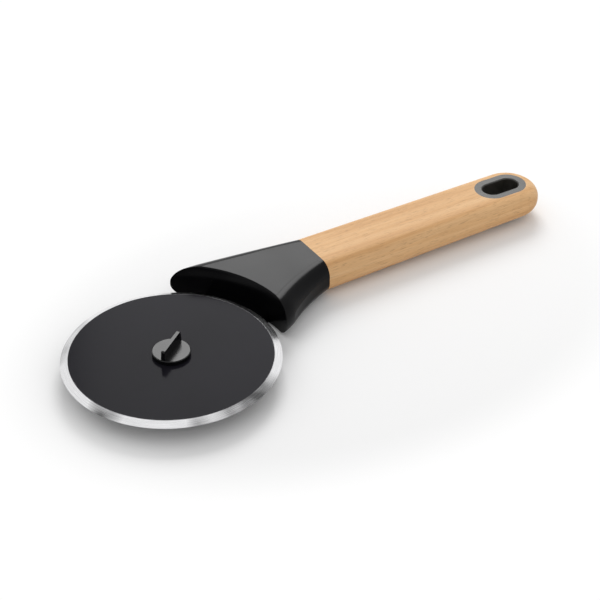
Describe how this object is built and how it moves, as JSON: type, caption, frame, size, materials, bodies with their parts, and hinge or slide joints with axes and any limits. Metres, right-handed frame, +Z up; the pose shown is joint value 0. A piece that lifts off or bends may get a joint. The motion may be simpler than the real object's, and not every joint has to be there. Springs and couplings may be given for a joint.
{
  "type": "pizza cutter wheel",
  "caption": "Pizza cutter wheel: a dark coated disc blade with a bare ground rim, held by a quarter-turn knob under a flared guard, with an offset wooden handle and a hang slot.",
  "frame": {"origin": "where the blade's turning axis meets the plane that the tool lies on", "axes": "+Z up along the blade's axis, out of the table and through the lock knob; +X along the handle, from the wheel towards the hang slot; the handle's centre line lies on the +Y side of the axis"},
  "size_m": [0.2772, 0.1022, 0.02],
  "materials": {
    "coated_steel": "semi-gloss dark non-stick coating; the ground rim is bare steel",
    "steel": "turned or stamped, plain",
    "knob_nylon": "satin black moulding",
    "head_nylon": "satin black moulding",
    "beech": "sanded pale hardwood, thin oil",
    "liner_nylon": "matt dark grey moulding"
  },
  "bodies": {
    "handle": {"wood_handle": "beech", "hang_slot_liner": "liner_nylon", "guard_head": "head_nylon", "core_plate": "steel", "bayonet_socket": "steel", "spring_washer": "steel"},
    "wheel": {"blade": "coated_steel", "hub_bush": "steel", "hub_cap": "steel"},
    "lock": {"lock_knob": "knob_nylon", "spindle_pin": "steel", "cross_pin": "steel"}
  },
  "joints": [
    {"name": "blade_spin", "type": "hinge", "parent": "handle", "child": "wheel", "pos_m": [0, 0, 0.01], "axis": [0, 0, 1], "continuous": true},
    {"name": "lock_knob_turn", "type": "hinge", "parent": "handle", "child": "lock", "pos_m": [0, 0, 0.01], "axis": [0, 0, 1], "range_deg": [0, 90]}
  ]
}
